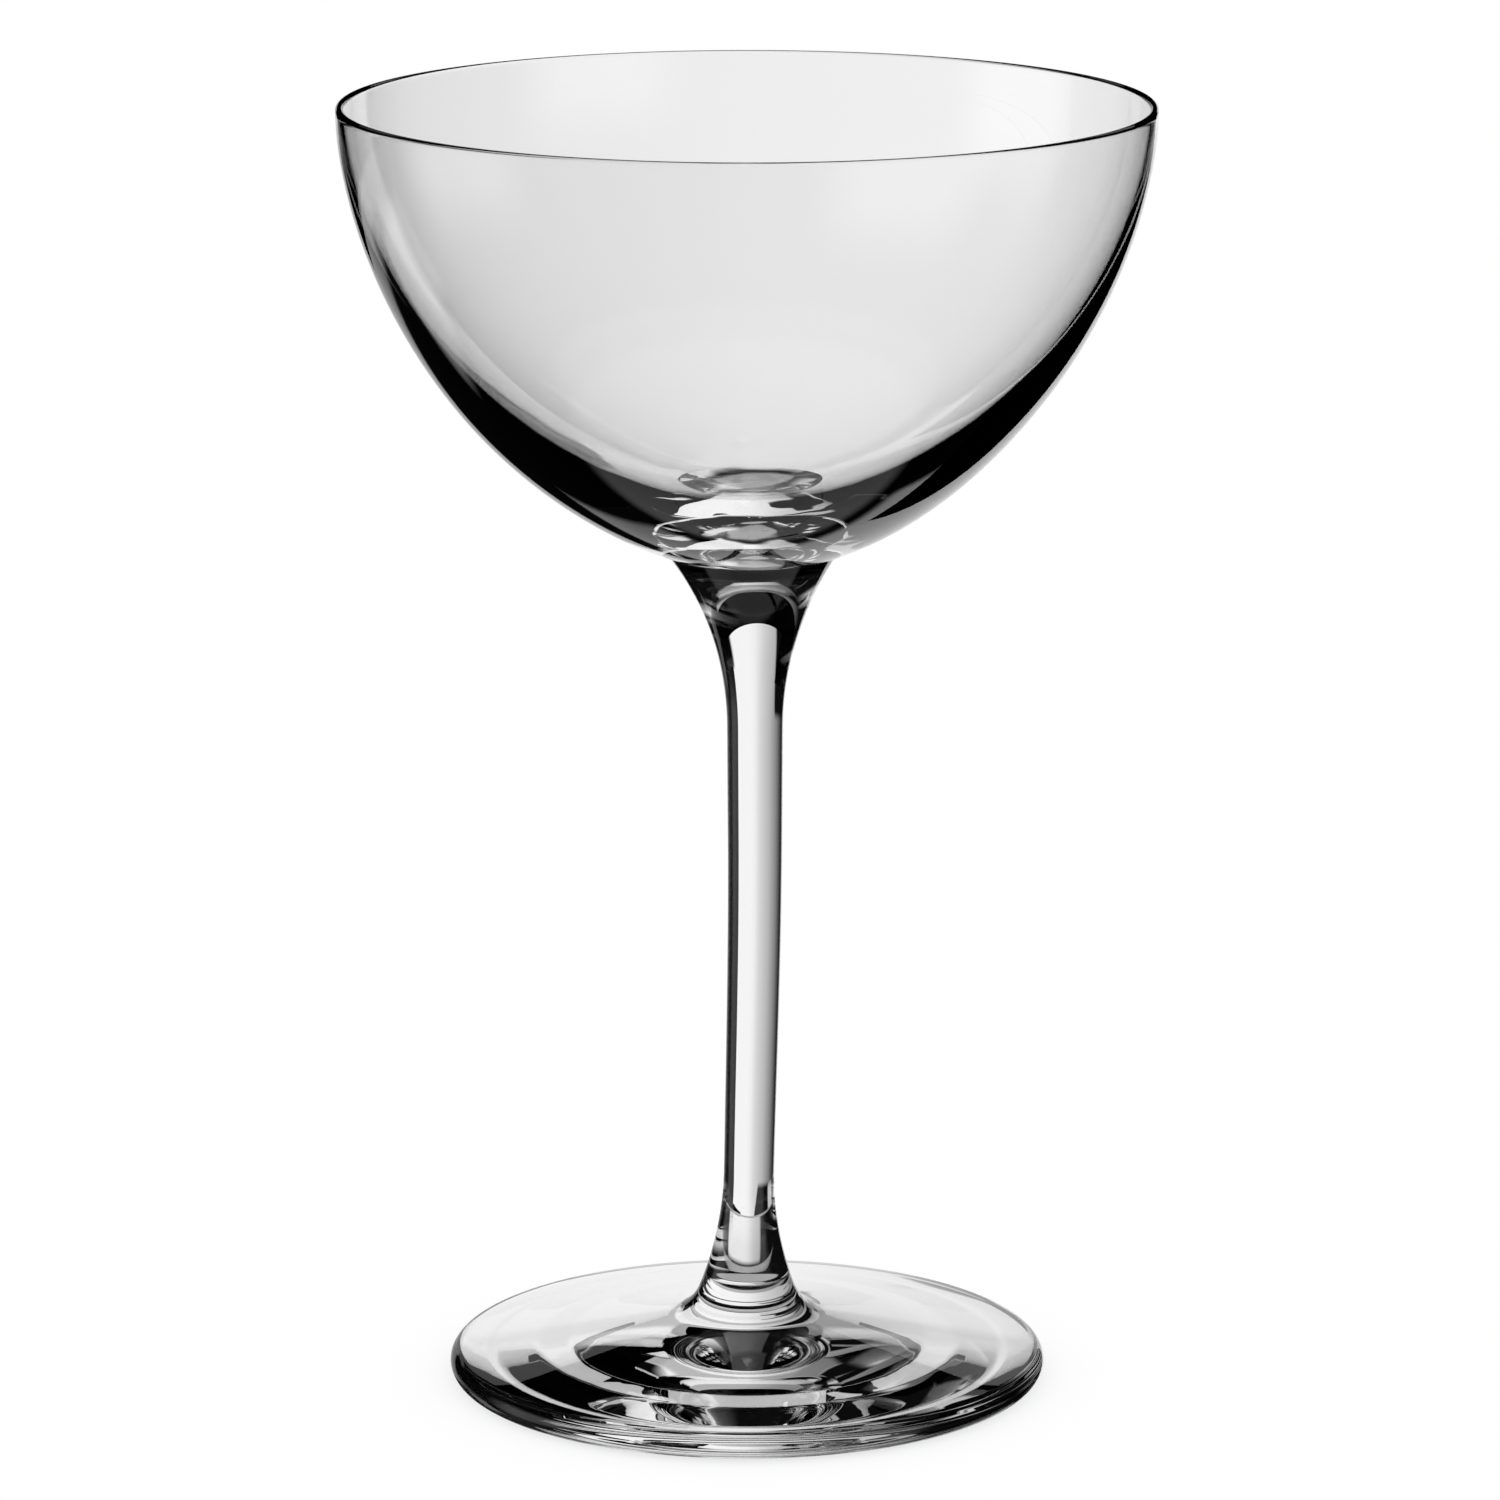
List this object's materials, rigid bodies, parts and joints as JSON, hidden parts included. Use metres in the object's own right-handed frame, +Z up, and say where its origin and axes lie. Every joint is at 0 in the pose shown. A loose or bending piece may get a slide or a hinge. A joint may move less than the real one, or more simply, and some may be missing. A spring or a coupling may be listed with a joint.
{
  "type": "cocktail glass",
  "caption": "Stemmed coupe cocktail glass: a wide rounded open bowl on a slim solid stem and a broad shallow foot, for serving drinks.",
  "frame": {"origin": "centre of the foot, on the plane that the glass stands on", "axes": "+Z up along the axis of the glass, from the foot to the rim; X and Y are any two level directions, because the glass is round"},
  "size_m": [0.095, 0.095, 0.1528],
  "materials": {
    "bowl": "blown, fire-polished lip",
    "stem": "drawn, fire-polished",
    "foot": "pressed, fire-polished"
  },
  "bodies": {
    "root": {"bowl": "bowl", "stem": "stem", "foot": "foot"}
  },
  "joints": []
}
